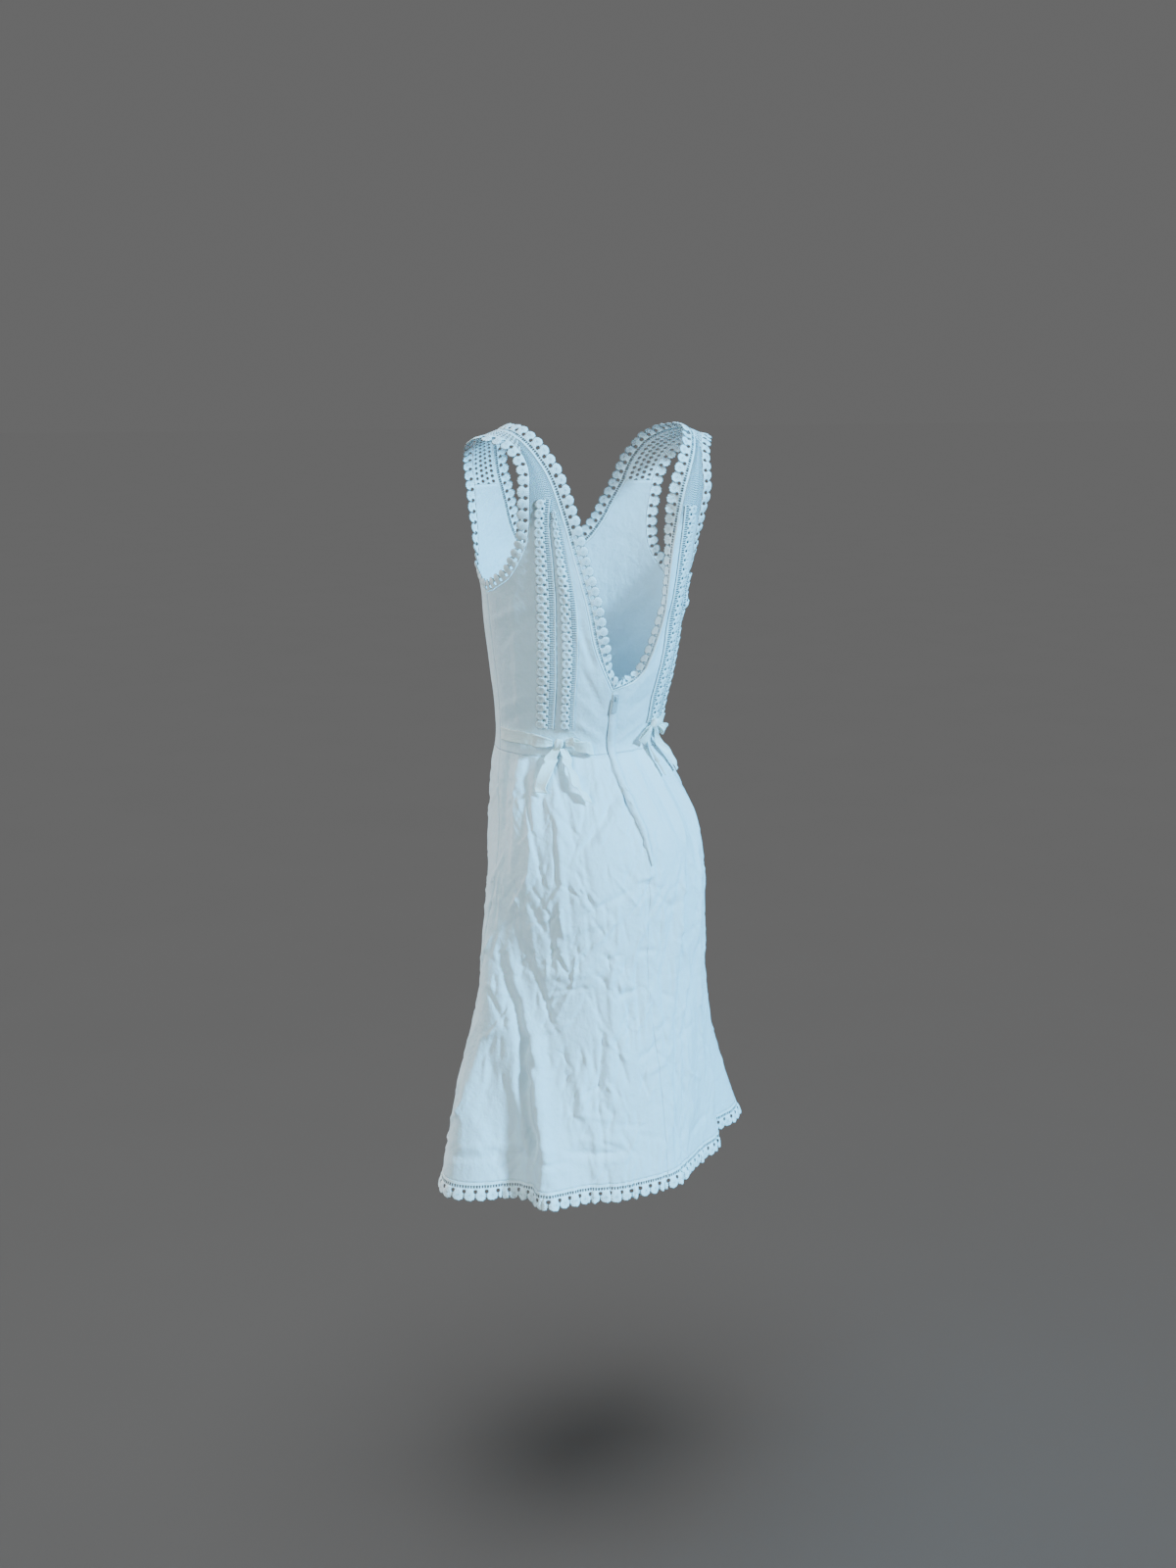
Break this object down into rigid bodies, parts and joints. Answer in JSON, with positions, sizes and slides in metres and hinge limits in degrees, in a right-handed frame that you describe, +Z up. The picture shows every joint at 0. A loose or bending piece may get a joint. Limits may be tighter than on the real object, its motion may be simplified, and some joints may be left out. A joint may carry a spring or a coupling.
{
  "type": "wedding dress",
  "caption": "sleeveless knee-length cotton dress with a deep V back, crochet straps, edgings and hem, a lapped back zip and ribbon bows at the waist, hollow and open as worn",
  "frame": {"origin": "midway between the two shoulder straps at the height of their tops, where the garment is held up", "axes": "+Z up, front of the garment faces -Y, the wearer's left is +X"},
  "size_m": [0.4703, 0.3394, 0.957],
  "materials": {
    "cotton": "plain-woven off-white cotton",
    "crochet": "off-white cotton crochet lace",
    "zip": "white enamelled slider and pull tab"
  },
  "bodies": {
    "dress": {"bodice_back_left": "cotton", "bodice_back_right": "cotton", "bodice_front": "cotton", "skirt_back_left": "cotton", "skirt_back_right": "cotton", "skirt_front": "cotton", "zip_lap": "cotton", "tie_left_band": "cotton", "tie_left_knot": "cotton", "tie_left_loop_large": "cotton", "tie_left_loop_small": "cotton", "tie_left_tail_front": "cotton", "tie_left_tail_back": "cotton", "tie_right_band": "cotton", "tie_right_knot": "cotton", "tie_right_loop_large": "cotton", "tie_right_loop_small": "cotton", "tie_right_tail_front": "cotton", "tie_right_tail_back": "cotton", "strap_lace_left": "crochet", "strap_lace_right": "crochet", "neck_trim_back_left": "crochet", "neck_trim_back_right": "crochet", "neck_trim_front_left": "crochet", "neck_trim_front_right": "crochet", "armhole_trim_back_left": "crochet", "armhole_trim_back_right": "crochet", "armhole_trim_front_left": "crochet", "armhole_trim_front_right": "crochet", "hem_lace_left": "crochet", "hem_lace_right": "crochet", "lace_strip_left_outer": "crochet", "lace_strip_left_inner": "crochet", "lace_strip_right_outer": "crochet", "lace_strip_right_inner": "crochet", "zip_slider": "zip"},
    "pull_tab": {"zip_pull_tab": "zip"}
  },
  "joints": [
    {"name": "pull_tab_hinge", "type": "hinge", "parent": "dress", "child": "pull_tab", "pos_m": [0.00415, 0.06234, -0.3325], "axis": [0.9995, -0.0315, 0], "range_deg": [0, 150]}
  ]
}
